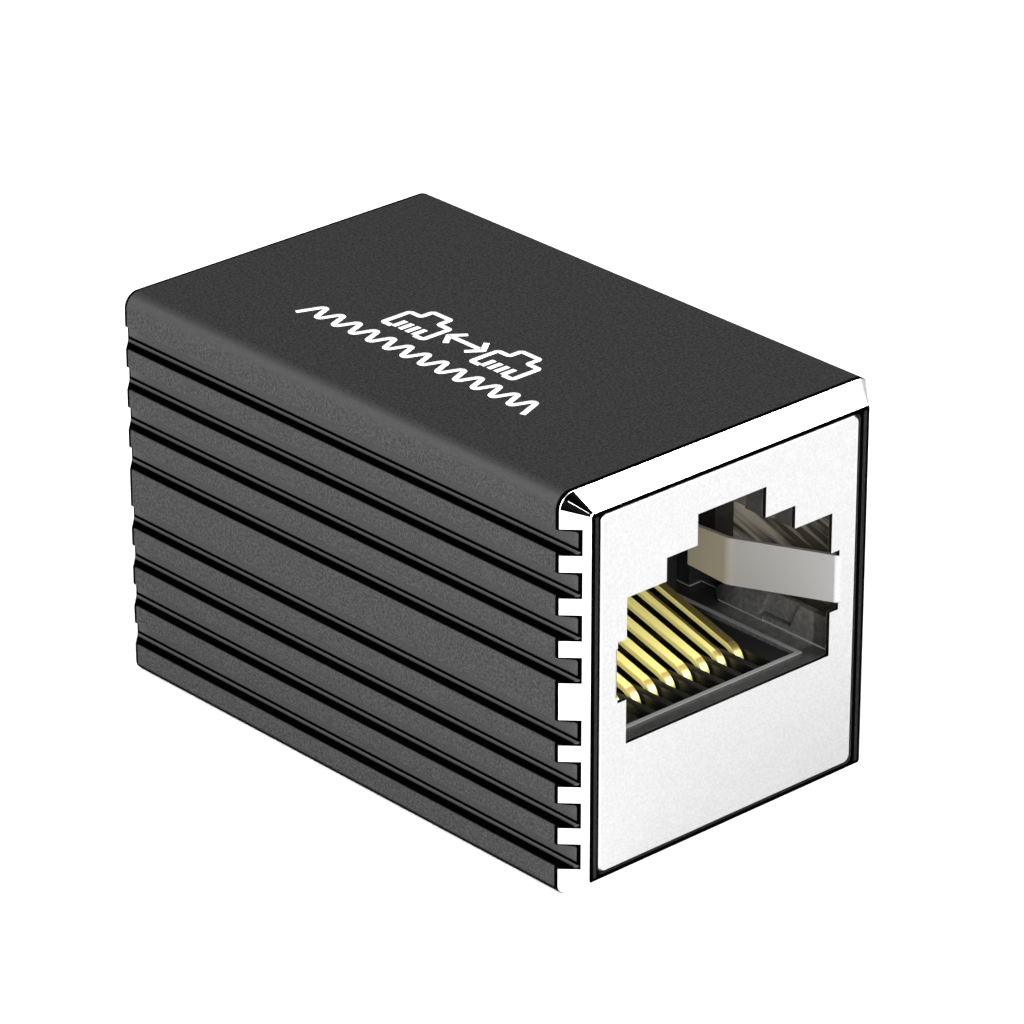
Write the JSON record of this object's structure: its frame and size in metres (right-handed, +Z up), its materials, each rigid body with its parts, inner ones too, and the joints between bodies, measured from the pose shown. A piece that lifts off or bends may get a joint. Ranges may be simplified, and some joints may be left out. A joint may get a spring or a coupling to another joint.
{
  "type": "network cable inline coupler",
  "caption": "Short rectangular coupler with ribbed sides that joins two shielded eight-way network plugs end to end through a latched port in each end.",
  "frame": {"origin": "middle of the base, under the centre of the bounding box", "axes": "+X across the ports to the right seen from the front port, +Y along the body away from the front port, +Z up on the latch side"},
  "size_m": [0.018, 0.03, 0.0185],
  "materials": {
    "anodised_aluminium": "black anodised, fine bead-blasted grain; the end chamfers are cut bright",
    "nickel_sheet": "satin nickel-plated sheet",
    "housing_plastic": "moulded, semi-matt black",
    "carrier_plastic": "moulded, semi-matt black",
    "gold_contact": "gold plated, polished",
    "board_laminate": "green solder mask"
  },
  "bodies": {
    "root": {"sleeve": "anodised_aluminium", "shield_front": "nickel_sheet", "housing_front": "housing_plastic", "contact_carrier_front": "carrier_plastic", "shield_rear": "nickel_sheet", "housing_rear": "housing_plastic", "contact_carrier_rear": "carrier_plastic", "contact_front_1": "gold_contact", "contact_front_2": "gold_contact", "contact_front_3": "gold_contact", "contact_front_4": "gold_contact", "contact_front_5": "gold_contact", "contact_front_6": "gold_contact", "contact_front_7": "gold_contact", "contact_front_8": "gold_contact", "contact_rear_1": "gold_contact", "contact_rear_2": "gold_contact", "contact_rear_3": "gold_contact", "contact_rear_4": "gold_contact", "contact_rear_5": "gold_contact", "contact_rear_6": "gold_contact", "contact_rear_7": "gold_contact", "contact_rear_8": "gold_contact", "circuit_board": "board_laminate"}
  },
  "joints": []
}
